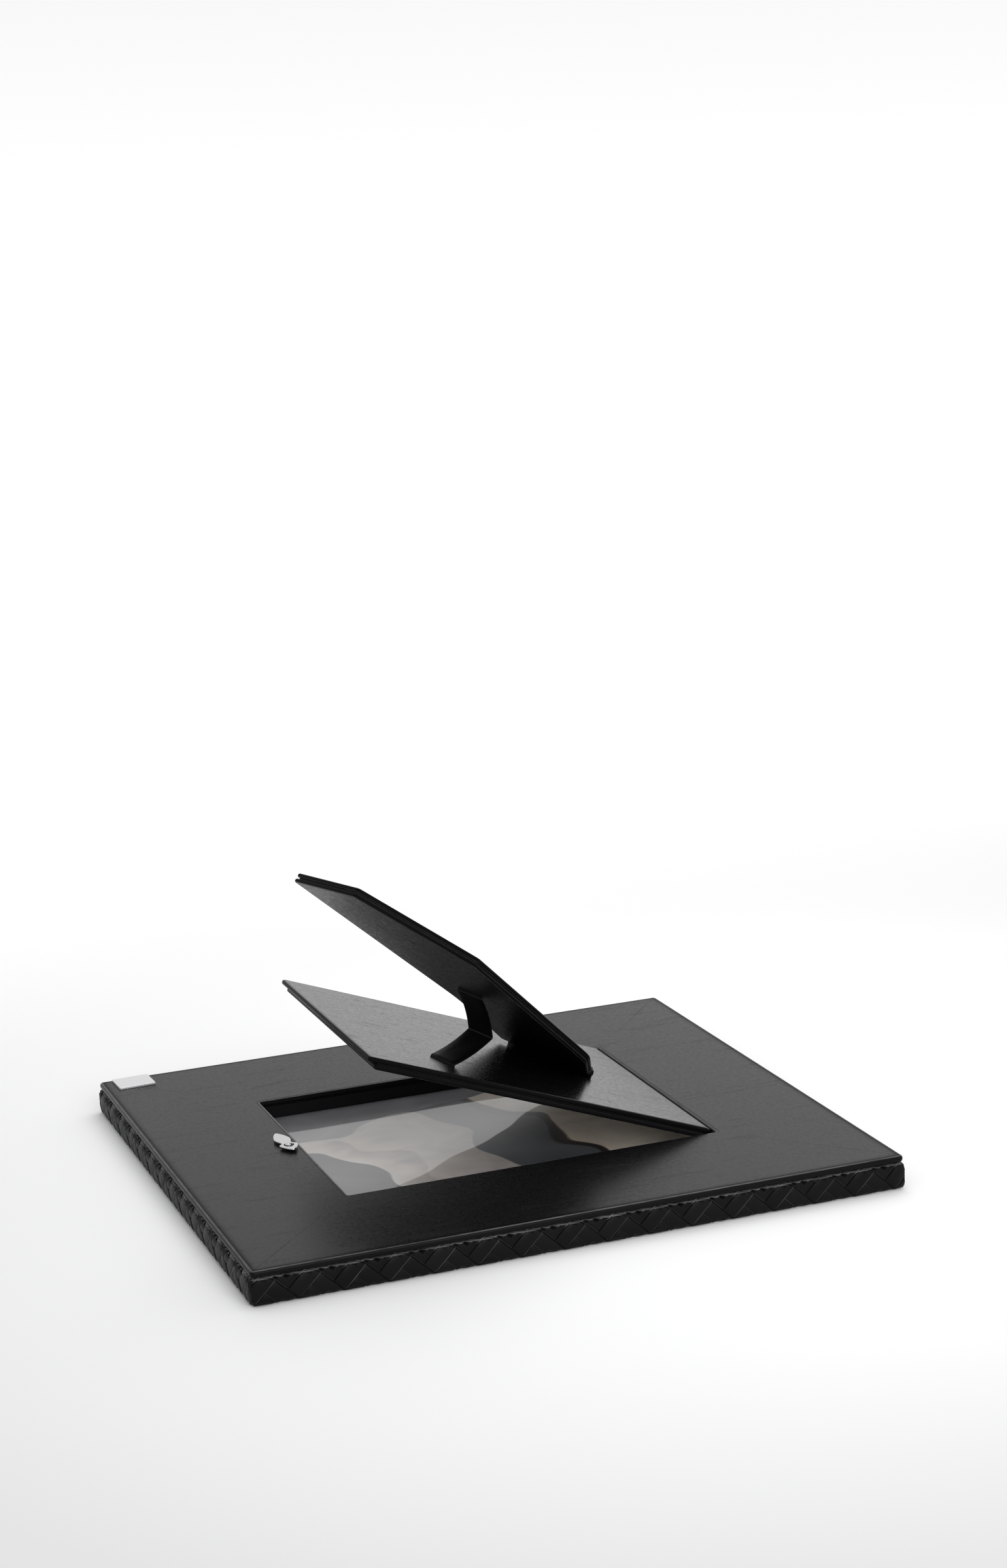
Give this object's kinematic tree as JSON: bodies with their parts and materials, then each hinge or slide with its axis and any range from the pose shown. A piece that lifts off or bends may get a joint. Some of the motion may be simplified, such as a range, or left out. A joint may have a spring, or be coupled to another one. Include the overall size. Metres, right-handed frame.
{
  "type": "photo frame",
  "caption": "Free-standing leather photo frame with plaited sides, a hinged back panel held by a turn button, and an easel leg stopped by a strap.",
  "frame": {"origin": "centre of the frame on its front face, which is the face it lies on", "axes": "+X along the long side towards the panel's hinge, +Y across to the side with the metal plate, +Z out of the back"},
  "size_m": [0.431, 0.395, 0.228],
  "materials": {
    "plaited_leather": "black smooth strips, plaited, satin",
    "smooth_leather": "black smooth calf, satin",
    "lining_leather": "black, matte",
    "fibreboard": "grey-brown pressed board",
    "core_wood": "plain planed softwood",
    "plated_metal": "polished, silver coloured",
    "pane": "clear float glass",
    "print": "glossy print, soft grey and beige shapes"
  },
  "bodies": {
    "frame": {"rail_near": "core_wood", "rail_right": "core_wood", "rail_far": "core_wood", "rail_left": "core_wood", "plait_near": "plaited_leather", "plait_right": "plaited_leather", "plait_far": "plaited_leather", "plait_left": "plaited_leather", "back_board": "fibreboard", "back_leather": "smooth_leather", "opening_lining": "lining_leather", "glass_pane": "pane", "photo_print": "print", "corner_plate": "plated_metal", "plate_pin_1": "plated_metal", "plate_pin_2": "plated_metal", "latch_washer": "lining_leather", "latch_screw": "plated_metal", "hinge_leather_frame": "smooth_leather"},
    "latch": {"latch_button": "plated_metal"},
    "panel": {"panel_outer_board": "smooth_leather", "panel_core": "fibreboard", "panel_inner_board": "smooth_leather", "hinge_leather_panel": "smooth_leather", "leg_hinge_tab": "smooth_leather"},
    "leg": {"leg_outer_board": "smooth_leather", "leg_core": "fibreboard", "leg_inner_board": "smooth_leather", "leg_hinge_roll": "smooth_leather", "leg_strap": "smooth_leather"}
  },
  "joints": [
    {"name": "panel_hinge", "type": "hinge", "parent": "frame", "child": "panel", "pos_m": [0.126, 0, 0.0212], "axis": [0, 1, 0], "range_deg": [-20.3, 79.7]},
    {"name": "leg_hinge", "type": "hinge", "parent": "panel", "child": "leg", "pos_m": [0.06193, 0.0074, 0.05034], "axis": [-0.4998, 0.8462, 0.1849], "range_deg": [-20.15, 12], "deforming": ["leg_strap"]},
    {"name": "latch_turn", "type": "hinge", "parent": "frame", "child": "latch", "pos_m": [-0.1324, 0, 0.0239], "axis": [0, 0, 1], "continuous": true}
  ]
}
